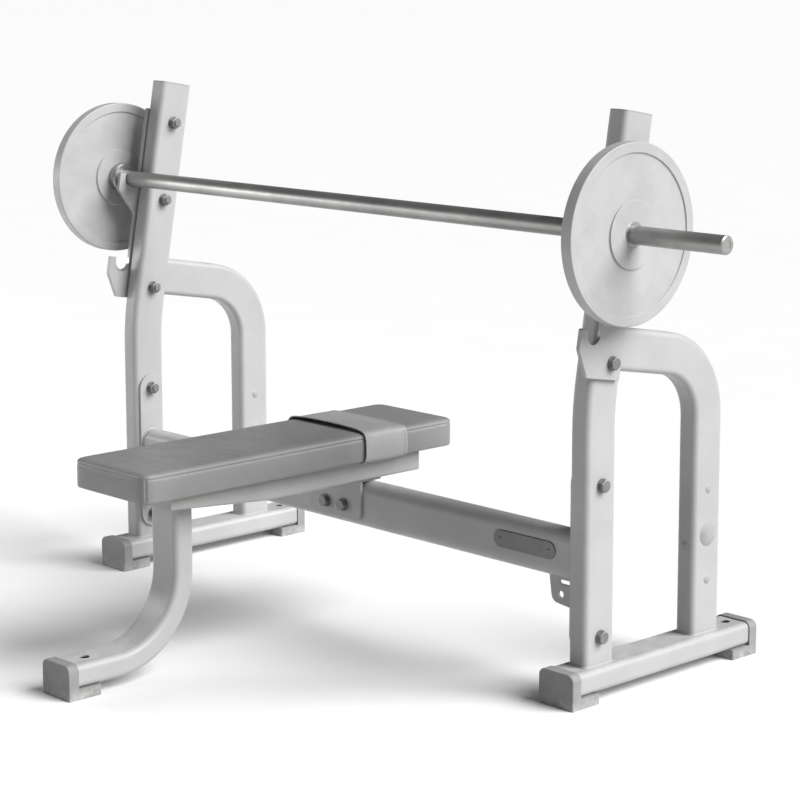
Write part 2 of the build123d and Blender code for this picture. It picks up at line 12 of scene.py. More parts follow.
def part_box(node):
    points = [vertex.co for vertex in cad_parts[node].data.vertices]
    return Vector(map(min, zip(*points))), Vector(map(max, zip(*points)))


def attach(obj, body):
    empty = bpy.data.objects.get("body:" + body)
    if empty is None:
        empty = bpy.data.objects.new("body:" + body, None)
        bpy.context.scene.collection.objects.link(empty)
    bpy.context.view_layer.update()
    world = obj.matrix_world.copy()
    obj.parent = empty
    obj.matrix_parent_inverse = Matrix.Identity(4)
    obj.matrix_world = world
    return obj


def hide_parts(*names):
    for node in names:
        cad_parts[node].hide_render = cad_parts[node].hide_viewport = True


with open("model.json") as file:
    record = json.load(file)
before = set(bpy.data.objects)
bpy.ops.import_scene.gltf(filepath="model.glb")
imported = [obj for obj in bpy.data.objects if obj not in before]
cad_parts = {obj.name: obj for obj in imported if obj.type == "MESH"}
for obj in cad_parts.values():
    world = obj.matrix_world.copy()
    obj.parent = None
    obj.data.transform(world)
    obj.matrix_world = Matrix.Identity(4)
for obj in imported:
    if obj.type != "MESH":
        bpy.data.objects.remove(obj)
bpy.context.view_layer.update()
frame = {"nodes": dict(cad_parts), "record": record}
NODES = frame["nodes"]

MM = 0.001
LEAN = math.radians(10)   # the uprights' lean
UP_LEAN = Vector((0, math.sin(LEAN), math.cos(LEAN)))


def middle(node):
    """Centre of a node's box."""
    low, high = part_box(node)
    return (low + high) / 2


# ------------------------------------------------------------------ node graphs
class Graph:
    """A material's node tree, with short calls for the nodes used here."""

    def __init__(self, name):
        self.material = bpy.data.materials.new(name)
        self.material.use_nodes = True
        self.tree = self.material.node_tree
        self.shader = self.tree.nodes["Principled BSDF"]
        self.coords = self.tree.nodes.new("ShaderNodeTexCoord").outputs["Object"]

    def node(self, kind, inputs=(), **settings):
        """New node of a kind, with its inputs and settings."""
        made = self.tree.nodes.new(kind)
        for key, value in settings.items():
            setattr(made, key, value)
        for key, value in dict(inputs).items():
            self.set(made.inputs[key], value)
        return made

    def set(self, socket, value):
        """Links a socket to the value, or gives it the value when that is a plain one."""
        if isinstance(value, bpy.types.NodeSocket):
            self.tree.links.new(value, socket)
        else:
            socket.default_value = value

    def math(self, operation, a, b=0.0, clamp=False):
        """One step of arithmetic."""
        made = self.node("ShaderNodeMath", {0: a, 1: b}, operation=operation, use_clamp=clamp)
        return made.outputs[0]

    def scaled(self, factors):
        """Coordinates stretched by three factors."""
        made = self.node("ShaderNodeVectorMath", {0: self.coords, 1: factors}, operation="MULTIPLY")
        return made.outputs[0]

    def noise(self, scale, detail=3.0, rough=0.55, coords=None, distortion=0.0):
        """Noise of about 0..1, scale being its cells per metre."""
        source = coords if coords is not None else self.coords
        inputs = {"Vector": source, "Scale": scale, "Detail": detail, "Roughness": rough}
        inputs["Distortion"] = distortion
        return self.node("ShaderNodeTexNoise", inputs).outputs["Fac"]

    def cell_edges(self, scale, coords):
        """Distance to the edges of random cells."""
        inputs = {"Vector": coords, "Scale": scale}
        return self.node("ShaderNodeTexVoronoi", inputs, feature="DISTANCE_TO_EDGE").outputs["Distance"]

    def ramp(self, value, low, high, out_low=0.0, out_high=1.0):
        """value from low..high to out_low..out_high, smoothly and clamped."""
        inputs = {"Value": value, "From Min": low, "From Max": high, "To Min": out_low, "To Max": out_high}
        made = self.node("ShaderNodeMapRange", inputs, interpolation_type="SMOOTHSTEP")
        return made.outputs["Result"]

    def mix(self, factor, a, b):
        """Mix of two colours."""
        made = self.node("ShaderNodeMix", data_type="RGBA")
        self.set(made.inputs["Factor"], factor)
        for name, value in (("A", a), ("B", b)):
            socket = next(s for s in made.inputs if s.name == name and s.type == "RGBA")
            self.set(socket, value)
        return next(s for s in made.outputs if s.type == "RGBA")

    def edges(self, radius):
        """1 along convex and concave edges, 0 on flats."""
        bevel = self.node("ShaderNodeBevel", {"Radius": radius}, samples=6).outputs["Normal"]
        true = self.node("ShaderNodeNewGeometry").outputs["Normal"]
        dot = self.node("ShaderNodeVectorMath", {0: bevel, 1: true}, operation="DOT_PRODUCT").outputs["Value"]
        return self.ramp(self.math("SUBTRACT", 1.0, dot), 0.02, 0.25)

    def upward(self):
        """1 on faces that look up, 0 on the rest."""
        normal = self.node("ShaderNodeNewGeometry").outputs["Normal"]
        up = self.node("ShaderNodeSeparateXYZ", {0: normal}).outputs["Z"]
        return self.ramp(up, 0.55, 0.98)

    def bump(self, height, distance, strength=1.0, normal=None):
        """Normal bent by a height of 0..1 over the distance, on top of another normal."""
        inputs = {"Height": height, "Distance": distance, "Strength": strength}
        if normal is not None:
            inputs["Normal"] = normal
        return self.node("ShaderNodeBump", inputs).outputs["Normal"]

    def finish(self, **sockets):
        """Sets the shader's sockets, with _ for the spaces in their names."""
        for key, value in sockets.items():
            self.set(self.shader.inputs[key.replace("_", " ")], value)
        return self.material


def grey(value, warmth=0.0):
    """Grey colour, redder and less blue by the warmth."""
    return (value * (1 + warmth), value, value * (1 - warmth), 1.0)


# -------------------------------------------------------------------- materials
def powder_coat(name, tone, worn=None):
    """Satin powder coat: orange peel, mottling, dust on top, edges lighter in patches (partly worn, partly a
    painted edge highlight), bare steel where worn is 1.
    """
    g = Graph(name)
    mottled = g.mix(g.ramp(g.noise(9.0, 4.0), 0.3, 0.7), grey(tone * 0.955), grey(tone * 1.03))
    speck = g.ramp(g.noise(1400.0, 1.0), 0.60, 0.74)
    colour = g.mix(g.math("MULTIPLY", speck, 0.10), mottled, grey(tone * 0.7))
    # Edges lighter in patches: partly wear, partly a painted edge highlight.
    edge_wear_and_highlight = g.math("MULTIPLY", g.edges(1.6 * MM), g.ramp(g.noise(55.0, 5.0, 0.7), 0.48, 0.66), clamp=True)
    colour = g.mix(g.math("MULTIPLY", edge_wear_and_highlight, 0.55), colour, grey(tone * 1.22))
    dust = g.math("MULTIPLY", g.upward(), g.ramp(g.noise(24.0, 5.0, 0.65), 0.35, 0.75))
    colour = g.mix(g.math("MULTIPLY", dust, 0.16), colour, grey(0.72, 0.03))
    smudge = g.ramp(g.noise(5.0, 5.0, 0.6, distortion=0.4), 0.35, 0.7, 0.36, 0.50)
    rough = g.math("ADD", smudge, g.math("MULTIPLY", dust, 0.18))
    metal = 0.0
    if worn is not None:
        mask = worn(g)
        steel = g.mix(g.noise(240.0, 3.0), grey(0.30), grey(0.52, 0.01))
        colour = g.mix(mask, colour, steel)
        rough = g.math("ADD", rough, g.math("MULTIPLY", mask, -0.06))
        metal = mask
    peel = g.bump(g.noise(620.0, 2.0, 0.5), 0.05 * MM, 0.55)
    peel = g.bump(g.noise(2600.0, 1.0), 0.02 * MM, 0.4, peel)
    return g.finish(Base_Color=colour, Roughness=rough, Metallic=metal, Normal=peel, Specular_IOR_Level=0.45)


def hook_wear(centres):
    """Mask for the rests of the hooks, where the bar rubs the coat off."""

    def mask(g):
        total = None
        split = g.node("ShaderNodeSeparateXYZ", {0: g.coords})
        flat = g.node("ShaderNodeCombineXYZ", {"Y": split.outputs["Y"], "Z": split.outputs["Z"]}).outputs[0]
        for centre in centres:
            ends = {0: flat, 1: (0, centre.y, centre.z)}
            offset = g.node("ShaderNodeVectorMath", ends, operation="DISTANCE")
            near = g.ramp(offset.outputs["Value"], WORN_OUT_TO, COATED_FROM, 1.0, 0.0)
            total = near if total is None else g.math("ADD", total, near, clamp=True)
        torn = g.ramp(g.noise(260.0, 6.0, 0.7), 0.36, 0.52)
        return g.math("MULTIPLY", total, torn, clamp=True)

    return mask


def plated(name, tone, rough, metal, grain=(1.0, 1.0, 1.0)):
    """Zinc-plated or machined steel, its fine lines running along the axes with a small grain factor; every
    edge is lighter, a painted highlight.
    """
    g = Graph(name)
    lines = g.noise(420.0, 3.0, 0.6, g.scaled(grain))
    cloud = g.ramp(g.noise(38.0, 4.0), 0.3, 0.7)
    colour = g.mix(cloud, grey(tone * 0.86, 0.012), grey(tone * 1.08, 0.012))
    # Painted highlight: every edge is lighter.
    colour = g.mix(g.math("MULTIPLY", g.edges(0.7 * MM), 0.35), colour, grey(min(tone * 1.35, 0.95)))
    roughness = g.ramp(lines, 0.25, 0.75, rough - 0.07, rough + 0.09)
    normal = g.bump(lines, 0.02 * MM, 0.5)
    return g.finish(Base_Color=colour, Roughness=roughness, Metallic=metal, Normal=normal)


def bar_steel():
    """Dark phosphated bar: fine turned rings, handling marks, rub bands where it sits in the hooks."""
    g = Graph("bar_steel")
    rings = g.noise(60.0, 2.0, 0.5, g.scaled((26.0, 0.4, 0.4)))
    cloud = g.ramp(g.noise(11.0, 5.0, 0.65, g.scaled((0.5, 1.0, 1.0))), 0.3, 0.72)
    colour = g.mix(cloud, grey(0.27, 0.01), grey(0.38, 0.02))
    along = g.node("ShaderNodeSeparateXYZ", {0: g.coords}).outputs["X"]
    from_hook = g.math("ABSOLUTE", g.math("SUBTRACT", g.math("ABSOLUTE", along), HOOK_X))
    near_hook = g.ramp(from_hook, 4 * MM, 15 * MM, 1.0, 0.0)
    rub = g.math("MULTIPLY", near_hook, g.ramp(g.noise(150.0, 4.0), 0.38, 0.6))
    outside = g.ramp(g.math("ABSOLUTE", along), PLATE_FACE, PLATE_FACE + 20 * MM)
    drag = g.ramp(g.noise(90.0, 4.0, 0.7, g.scaled((0.12, 1.6, 1.6))), 0.56, 0.70)
    bright = g.math("ADD", rub, g.math("MULTIPLY", outside, drag), clamp=True)
    colour = g.mix(g.math("MULTIPLY", bright, 0.6), colour, grey(0.46, 0.01))
    rough = g.math("SUBTRACT", g.ramp(rings, 0.25, 0.75, 0.40, 0.52), g.math("MULTIPLY", bright, 0.10))
    normal = g.bump(rings, 0.02 * MM, 0.5)
    return g.finish(Base_Color=colour, Roughness=rough, Metallic=0.85, Normal=normal)


def cast_enamel():
    """Enamelled casting: sand texture under a satin coat with painted shade in its pits, chips along the rim.
    """
    g = Graph("weight_iron")
    tone = 0.35
    mottled = g.mix(g.ramp(g.noise(12.0, 5.0, 0.6), 0.3, 0.7), grey(tone * 0.93), grey(tone * 1.05))
    sand = g.noise(330.0, 4.0, 0.62)
    # Painted shade: the pits of the sand texture are darkened.
    colour = g.mix(g.ramp(sand, 0.30, 0.46, 0.22, 0.0), mottled, grey(tone * 0.6))
    chips = g.math("MULTIPLY", g.edges(2.2 * MM), g.ramp(g.noise(130.0, 6.0, 0.75), 0.58, 0.63), clamp=True)
    colour = g.mix(chips, colour, grey(0.13, 0.06))
    rough = g.ramp(g.noise(26.0, 4.0), 0.3, 0.7, 0.40, 0.56)
    rough = g.math("ADD", rough, g.math("MULTIPLY", chips, 0.2))
    normal = g.bump(sand, 0.22 * MM, 0.5)
    normal = g.bump(g.math("MULTIPLY", chips, -1.0), 0.25 * MM, 0.8, normal)
    return g.finish(Base_Color=colour, Roughness=rough, Normal=normal, Specular_IOR_Level=0.4)


def moulded(name, tone, rough, grain_size, depth, dusty=0.0):
    """Moulded plastic or rubber with a fine spark-eroded grain, scuffs on the edges and dust."""
    g = Graph(name)
    cloud = g.ramp(g.noise(20.0, 5.0, 0.6), 0.3, 0.7)
    colour = g.mix(cloud, grey(tone * 0.90), grey(tone * 1.07))
    scuff = g.math("MULTIPLY", g.edges(2.0 * MM), g.ramp(g.noise(85.0, 5.0, 0.7), 0.45, 0.62), clamp=True)
    colour = g.mix(g.math("MULTIPLY", scuff, 0.5), colour, grey(min(tone * 1.4, 0.8)))
    if dusty:
        height = g.node("ShaderNodeSeparateXYZ", {0: g.coords}).outputs["Z"]
        low = g.ramp(height, 2 * MM, 30 * MM, 1.0, 0.0)
        patch = g.ramp(g.noise(60.0, 5.0, 0.7), 0.35, 0.7)
        colour = g.mix(g.math("MULTIPLY", g.math("MULTIPLY", low, patch), dusty), colour, grey(0.62, 0.05))
    grain = g.noise(1.0 / grain_size, 2.0, 0.6)
    roughness = g.ramp(g.noise(140.0, 4.0), 0.3, 0.7, rough - 0.06, rough + 0.07)
    normal = g.bump(grain, depth, 0.7)
    return g.finish(Base_Color=colour, Roughness=roughness, Normal=normal, Specular_IOR_Level=0.35)


def vinyl(name, tone, cell, depth, rough):
    """Upholstery vinyl: pebbled leather grain with painted shade in its valleys, soft pull creases and
    lighter worn high spots, partly wear and partly painted sheen.
    """
    g = Graph(name)
    warp = g.noise(90.0, 2.0, 0.5)
    shift = g.node("ShaderNodeVectorMath", {0: warp, 1: (cell * 1.5,) * 3}, operation="MULTIPLY")
    drifted = g.node("ShaderNodeVectorMath", {0: g.coords, 1: shift.outputs[0]}, operation="ADD")
    pebbles = g.cell_edges(1.0 / cell, drifted.outputs[0])
    valley = g.ramp(pebbles, 0.0, 0.16)
    fine = g.noise(1.6 / cell, 3.0, 0.6)
    broad = g.ramp(g.noise(7.0, 4.0, 0.6), 0.3, 0.7)
    colour = g.mix(broad, grey(tone * 0.92, 0.004), grey(tone * 1.06, 0.004))
    # Painted shade: the grain's valleys are darkened.
    colour = g.mix(g.math("MULTIPLY", g.math("SUBTRACT", 1.0, valley), 0.45), colour, grey(tone * 0.55))
    # Lighter patches: partly wear, partly painted sheen.
    worn = g.ramp(g.noise(16.0, 5.0, 0.7), 0.55, 0.78)
    colour = g.mix(g.math("MULTIPLY", worn, 0.12), colour, grey(tone * 1.5))
    roughness = g.ramp(g.noise(30.0, 4.0), 0.3, 0.7, rough - 0.06, rough + 0.06)
    roughness = g.math("ADD", roughness, g.math("MULTIPLY", valley, -0.05))
    normal = g.bump(valley, depth, 0.55)
    normal = g.bump(fine, depth * 0.5, 0.4, normal)
    crease = g.noise(42.0, 5.0, 0.65, g.scaled((1.0, 0.45, 1.0)), 0.8)
    normal = g.bump(crease, 0.5 * MM, 0.35, normal)
    return g.finish(Base_Color=colour, Roughness=roughness, Normal=normal, Specular_IOR_Level=0.42)


def plywood():
    """Plywood: long grain on the faces, plies as bands on the edges."""
    g = Graph("pad_board")
    grain = g.noise(34.0, 6.0, 0.62, g.scaled((9.0, 0.55, 9.0)), 0.6)
    bands = {"Vector": g.coords, "Scale": 105.0, "Distortion": 0.6}
    plies = g.node("ShaderNodeTexWave", bands, bands_direction="Z")
    colour = g.mix(g.ramp(grain, 0.3, 0.7), (0.36, 0.25, 0.15, 1), (0.58, 0.45, 0.30, 1))
    colour = g.mix(g.math("MULTIPLY", plies.outputs["Fac"], 0.3), colour, (0.24, 0.16, 0.10, 1))
    return g.finish(Base_Color=colour, Roughness=0.72, Normal=g.bump(grain, 0.2 * MM, 0.5))


def brushed_plate():
    """Blank name plate: long brushed lines and a few finger marks; its dark tone is painted shade, as it
    faces away from the key.
    """
    g = Graph("name_plate")
    lines = g.noise(130.0, 4.0, 0.7, g.scaled((0.35, 9.0, 9.0)))
    # Painted shade: the plate's tone is darkened because it faces away from the key.
    colour = g.mix(lines, grey(0.12), grey(0.21))
    marks = g.ramp(g.noise(45.0, 4.0, 0.6), 0.45, 0.7, 0.0, 0.12)
    rough = g.math("ADD", g.ramp(lines, 0.2, 0.8, 0.30, 0.44), marks)
    return g.finish(Base_Color=colour, Roughness=rough, Metallic=1.0, Normal=g.bump(lines, 0.02 * MM, 0.5))


def weld_metal(tone):
    """Painted weld bead: the coat of the frame over coarse ripples."""
    g = Graph("weld_paint")
    lumps = g.noise(300.0, 4.0, 0.6)
    colour = g.mix(lumps, grey(tone * 0.90), grey(tone * 1.03))
    return g.finish(Base_Color=colour, Roughness=0.46, Normal=g.bump(lumps, 0.25 * MM, 0.6))


def thread():
    """Twisted grey sewing thread."""
    g = Graph("thread")
    twist = g.noise(2200.0, 2.0, 0.5)
    colour = g.mix(twist, grey(0.20), grey(0.36))
    return g.finish(Base_Color=colour, Roughness=0.75, Normal=g.bump(twist, 0.1 * MM, 0.6))


HOOK_X = abs(middle("right_hook_plate").x)
PLATE_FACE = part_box("right_weight_plate")[1].x
UPPER_REST = middle("bar")
UPPER_REST.x = 0
HOOK_PITCH = 209 * MM     # between the two rests, along the lean
LOWER_REST = UPPER_REST - UP_LEAN * HOOK_PITCH
WORN_OUT_TO = 20.4 * MM   # from a rest's centre: the coat is rubbed off this far
COATED_FROM = 25.5 * MM   # and whole from here on

FRAME_TONE = 0.35
MATERIALS = {
    "frame_paint": powder_coat("frame_paint", FRAME_TONE),
    "hook_paint": powder_coat("hook_paint", 0.345, hook_wear((UPPER_REST, LOWER_REST))),
    "rail_paint": powder_coat("rail_paint", 0.31),
    "name_plate": brushed_plate(),
    "fastener_steel": plated("fastener_steel", 0.20, 0.46, 0.5),
    "cap_plastic": moulded("cap_plastic", 0.28, 0.52, 0.55 * MM, 0.06 * MM),
    "foot_rubber": moulded("foot_rubber", 0.22, 0.66, 0.9 * MM, 0.10 * MM, 0.35),
    "pad_board": plywood(),
    "pad_vinyl": vinyl("pad_vinyl", 0.203, 1.5 * MM, 0.16 * MM, 0.40),
    "wrap_vinyl": vinyl("wrap_vinyl", 0.30, 2.1 * MM, 0.24 * MM, 0.44),
    "bar_steel": bar_steel(),
    "collar_steel": plated("collar_steel", 0.36, 0.38, 0.9, (6.0, 0.5, 0.5)),
    "weight_iron": cast_enamel(),
    "bush_steel": plated("bush_steel", 0.36, 0.38, 0.8),
}
WELD = weld_metal(FRAME_TONE)
THREAD = thread()


def dress_cad_nodes():
    """Every CAD node gets the finish of its material slot."""
    for part in frame["record"]["subparts"]:
        target = NODES[part["node"]]
        for holder in target.material_slots:
            holder.material = MATERIALS[part["material_slot"]]


# ------------------------------------------------------------------ mesh pieces
def mesh_object(name, points, faces, material):
    """Smooth-shaded mesh object with one material."""
    mesh = bpy.data.meshes.new(name)
    mesh.from_pydata([tuple(p) for p in points], [], faces)
    mesh.validate()
    mesh.polygons.foreach_set("use_smooth", [True] * len(mesh.polygons))
    mesh.materials.append(material)
    made = bpy.data.objects.new(name, mesh)
    bpy.context.scene.collection.objects.link(made)
    return made


def subdivide_once(obj):
    """One level of subdivision surface."""
    modifier = obj.modifiers.new("smooth", "SUBSURF")
    modifier.levels = 1
    modifier.render_levels = 1


def smoothstep(value, low, high):
    """0 below low, 1 above high, smooth between."""
    t = min(max((value - low) / (high - low), 0.0), 1.0)
    return t * t * (3 - 2 * t)


# ---------------------------------------------------------------------- cushion
CUSHION_LOW, CUSHION_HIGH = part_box("pad_cushion")
BOARD_LOW, BOARD_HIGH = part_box("pad_board")
PAD_MIDDLE = (CUSHION_LOW + CUSHION_HIGH) / 2
CUSHION_STEP = 6.5 * MM
CORNER = 24 * MM          # vertical corners, in plan
TOP_EDGE = 10 * MM        # rounding of the top edge
BOTTOM_EDGE = 4 * MM
SEAM_DROP = 12 * MM       # the seam below the top
BOARD_GAP = 0.3 * MM      # between the cover and the board
TUCK = BOARD_LOW.x - CUSHION_LOW.x - BOARD_GAP  # the fold under the board's edge
ROOM = 2.0 * MM           # the cushion starts smaller by this, then swells
SIDE_SWELL = 5.5 * MM     # most that a point of the sides may move
TOP_SWELL = 3.4 * MM      # most that a point of the top may move
SEAM_HOLD = 0.55          # how firmly the seams keep their place while the cover swells
TOP_HOLD = 0.16           # the same for the top, which the foam is glued to
SEAM_DEEP = 2.2 * MM
SEAM_HALF = 2 * MM        # from the seam to the grid row on either side of it
SIDE_ROWS = 7             # grid rows below the seam
TOP_ROWS = 3              # and above it
PUCKER = 0.4 * MM         # unevenness of the cover beside the seam
PUCKER_REACH = 9 * MM     # it fades out over about this
PUCKER_SCALE = 34.0       # noise cells per metre
AIR_PRESSURE = 11.0
CLOTH_FRAMES = 20
CALM_ROUNDS = 2
CALM_SHARE = 0.6          # weight of the neighbours in each round


def grid_lines(low, high, step, ends):
    """Grid lines from low to high: fixed offsets at both ends, even spacing between."""
    inner_low, inner_high = low + ends[-1], high - ends[-1]
    count = max(2, round((inner_high - inner_low) / step))
    inner = [inner_low + (inner_high - inner_low) * i / count for i in range(count + 1)]
    return [low + e for e in ends[:-1]] + inner + [high - e for e in reversed(ends[:-1])]


class PadGrid:
    """A closed box of grid faces: x lines, y lines and z rows, each surface point having one number."""

    def __init__(self, xs, ys, zs):
        self.xs, self.ys, self.zs = xs, ys, zs
        self.last = (len(xs) - 1, len(ys) - 1, len(zs) - 1)
        self.number = {}
        self.keys = []
        self.faces = []
        self.build()

    def vertex(self, i, j, k):
        key = (i, j, k)
        if key not in self.number:
            self.number[key] = len(self.keys)
            self.keys.append(key)
        return self.number[key]

    def quad(self, corners):
        self.faces.append([self.vertex(*c) for c in corners])

    def build(self):
        last_i, last_j, last_k = self.last
        for i in range(last_i):
            for j in range(last_j):
                self.quad([(i, j, last_k), (i + 1, j, last_k), (i + 1, j + 1, last_k), (i, j + 1, last_k)])
                self.quad([(i, j, 0), (i, j + 1, 0), (i + 1, j + 1, 0), (i + 1, j, 0)])
        for k in range(last_k):
            for i in range(last_i):
                self.quad([(i, 0, k), (i + 1, 0, k), (i + 1, 0, k + 1), (i, 0, k + 1)])
                self.quad([(i, last_j, k), (i, last_j, k + 1), (i + 1, last_j, k + 1), (i + 1, last_j, k)])
            for j in range(last_j):
                self.quad([(0, j, k), (0, j, k + 1), (0, j + 1, k + 1), (0, j + 1, k)])
                self.quad([(last_i, j, k), (last_i, j + 1, k), (last_i, j + 1, k + 1), (last_i, j, k + 1)])


def plan_point(x, y, half):
    """A plan point moved onto the plan with round corners: (point, outward direction, inset)."""
    ax, ay = abs(x), abs(y)
    sign = Vector((math.copysign(1, x), math.copysign(1, y)))
    inset = min(half.x - ax, half.y - ay)
    q = Vector((ax - (half.x - CORNER), ay - (half.y - CORNER)))
    if q.x > 0 and q.y > 0:
        out = q.normalized()
        moved = Vector((half.x - CORNER, half.y - CORNER)) + out * max(q)
    else:
        moved = Vector((ax, ay))
        out = Vector((1, 0)) if half.x - ax < half.y - ay else Vector((0, 1))
    return moved * sign, out * sign, inset


def rounded_edge(inset, drop, radius):
    """Square edge to round edge: new inset and drop for a point with either of them at 0."""
    q = Vector((radius - inset, radius - drop))
    if q.x <= 0 or q.y <= 0:
        return inset, drop
    q = q.normalized() * max(q)
    return radius - q.x, radius - q.y


def cushion_points(grid, low, high):
    """Rest positions of the grid: rounded block, folded under the board's edge and hollow above the board."""
    half = Vector(((high.x - low.x) / 2, (high.y - low.y) / 2))
    ceiling = BOARD_HIGH.z + BOARD_GAP
    points = []
    for i, j, k in grid.keys:
        plan, out, inset = plan_point(grid.xs[i] - PAD_MIDDLE.x, grid.ys[j] - PAD_MIDDLE.y, half)
        z = grid.zs[k]
        if k == 0 and inset > TUCK + 0.1 * MM:
            z = ceiling
        elif high.z - z < TOP_EDGE:
            new_inset, drop = rounded_edge(inset, high.z - z, TOP_EDGE)
            plan += out * (inset - new_inset)
            z = high.z - drop
        elif z - low.z < BOTTOM_EDGE:
            new_inset, rise = rounded_edge(inset, z - low.z, BOTTOM_EDGE)
            plan += out * (inset - new_inset)
            z = low.z + rise
        points.append(Vector((plan.x + PAD_MIDDLE.x, plan.y + PAD_MIDDLE.y, z)))
    return points


def on_seam(grid, key, seam_row):
    """True on the seam round the cushion and on the seams down its four corners."""
    i, j, k = key
    corner = i in (0, grid.last[0]) and j in (0, grid.last[1])
    return k == seam_row or (corner and 1 < k < seam_row)


def inflated(grid, points, seam_row):
    """Cloth simulation of the cover: pressure inside, underside held, the movement softly capped."""
    cover = mesh_object("cushion_cloth", points, grid.faces, MATERIALS["pad_vinyl"])
    held = cover.vertex_groups.new(name="held")
    foot = CUSHION_LOW.z + 1.0 * MM
    fixed = [n for n, key in enumerate(grid.keys) if key[2] == 0 or points[n].z < foot]
    sewn = [n for n, key in enumerate(grid.keys) if on_seam(grid, key, seam_row)]
    glued = [n for n, key in enumerate(grid.keys) if key[2] == grid.last[2]]
    held.add(glued, TOP_HOLD, "REPLACE")
    held.add(sewn, SEAM_HOLD, "REPLACE")
    held.add(fixed, 1.0, "REPLACE")
    cloth = cover.modifiers.new("cloth", "CLOTH")
    settings = cloth.settings
    settings.quality = 5
    settings.mass = 0.35
    settings.tension_stiffness = 20
    settings.compression_stiffness = 20
    settings.shear_stiffness = 8
    settings.bending_stiffness = 2.0
    settings.use_pressure = True
    settings.uniform_pressure_force = AIR_PRESSURE
    settings.effector_weights.gravity = 0
    settings.vertex_group_mass = "held"
    cloth.point_cache.frame_start = 1
    cloth.point_cache.frame_end = CLOTH_FRAMES
    scene = bpy.context.scene
    for step in range(1, CLOTH_FRAMES + 1):
        scene.frame_set(step)
    evaluated = cover.evaluated_get(bpy.context.evaluated_depsgraph_get())
    moved = [v.co.copy() for v in evaluated.data.vertices]
    scene.frame_set(1)
    bpy.data.objects.remove(cover)
    offsets = [new - rest for rest, new in zip(points, moved)]
    offsets = [off_the_foam(*pair) for pair in zip(offsets, normals_of(points, grid.faces))]
    limits = [TOP_SWELL if key[2] == grid.last[2] else SIDE_SWELL for key in grid.keys]
    offsets = calmed(grid, np.array([capped(*pair) for pair in zip(offsets, limits)]))
    return [rest + Vector(move) for rest, move in zip(points, offsets)]


def off_the_foam(offset, normal):
    """The foam is firm: the cover may lift off it, but not sink into it."""
    return offset - normal * min(offset.dot(normal), 0.0)


def calmed(grid, offsets):
    """Movements evened out between neighbours, which takes out small crumples."""
    quads = np.array(grid.faces)
    first = quads[:, [0, 1, 2, 3]].ravel()
    second = quads[:, [1, 2, 3, 0]].ravel()
    count = np.bincount(first, minlength=len(offsets)) + np.bincount(second, minlength=len(offsets))
    for _ in range(CALM_ROUNDS):
        total = np.zeros_like(offsets)
        np.add.at(total, first, offsets[second])
        np.add.at(total, second, offsets[first])
        offsets = (1 - CALM_SHARE) * offsets + CALM_SHARE * total / count[:, None]
    return offsets


def capped(offset, limit):
    """The movement with its length eased below the limit."""
    length = offset.length
    if length < 1e-9:
        return offset
    return offset * (limit * (1 - math.exp(-length / limit)) / length)


def normals_of(points, faces):
    """Vertex normals of a mesh with these points and faces."""
    mesh = bpy.data.meshes.new("normals")
    mesh.from_pydata([tuple(p) for p in points], [], faces)
    mesh.update()
    result = [v.normal.copy() for v in mesh.vertices]
    bpy.data.meshes.remove(mesh)
    return result


def make_cushion():
    """The padded cover with its seam under the top edge and a sewn seam down each corner."""
    low = CUSHION_LOW + Vector((ROOM, ROOM, 0))
    high = CUSHION_HIGH - Vector((ROOM, ROOM, ROOM))
    ends = [0.0, TUCK / 2, TUCK, TUCK + 3 * MM]
    xs = grid_lines(low.x, high.x, CUSHION_STEP, ends)
    ys = grid_lines(low.y, high.y, CUSHION_STEP, ends)
    seam = CUSHION_HIGH.z - SEAM_DROP
    edge = low.z + BOTTOM_EDGE
    under, over = seam - SEAM_HALF, seam + SEAM_HALF
    rows = [low.z, edge]
    rows += [edge + (under - low.z - BOTTOM_EDGE) * n / SIDE_ROWS for n in range(1, SIDE_ROWS + 1)]
    rows += [seam, over]
    rows += [over + (high.z - seam - SEAM_HALF) * n / TOP_ROWS for n in range(1, TOP_ROWS + 1)]
    grid = PadGrid(xs, ys, rows)
    rest = cushion_points(grid, low, high)
    seam_row = rows.index(seam)
    points = inflated(grid, rest, seam_row)
    smooth_points = [p.copy() for p in points]
    normals = normals_of(points, grid.faces)
    for n, key in enumerate(grid.keys):
        depth = SEAM_DEEP if on_seam(grid, key, seam_row) else 0.0
        pucker = 0.0
        if key[2] > 0:
            near_seam = math.exp(-abs(points[n].z - seam) / PUCKER_REACH)
            pucker = noise.noise(points[n] * PUCKER_SCALE) * PUCKER * near_seam
        points[n] -= normals[n] * (depth - pucker)
    cushion = mesh_object("cushion", points, grid.faces, MATERIALS["pad_vinyl"])
    subdivide_once(cushion)
    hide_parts("pad_cushion")
    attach(cushion, "frame")
    return grid, smooth_points, seam_row


# ------------------------------------------------------------------- stitching
CUSHION_STITCH = (6.0 * MM, 4.2 * MM, 0.4 * MM)    # pitch, length and radius
WRAP_STITCH = (6.5 * MM, 4.6 * MM, 0.45 * MM)
STITCH_SIDES = 6
# each ring of a stitch: its place along the half length, then its girth and its rise in radii
STITCH_RINGS = ((-1, 0.55, -0.5), (-0.55, 1.0, 0.25), (0, 1.0, 0.45), (0.55, 1.0, 0.25), (1, 0.55, -0.5))


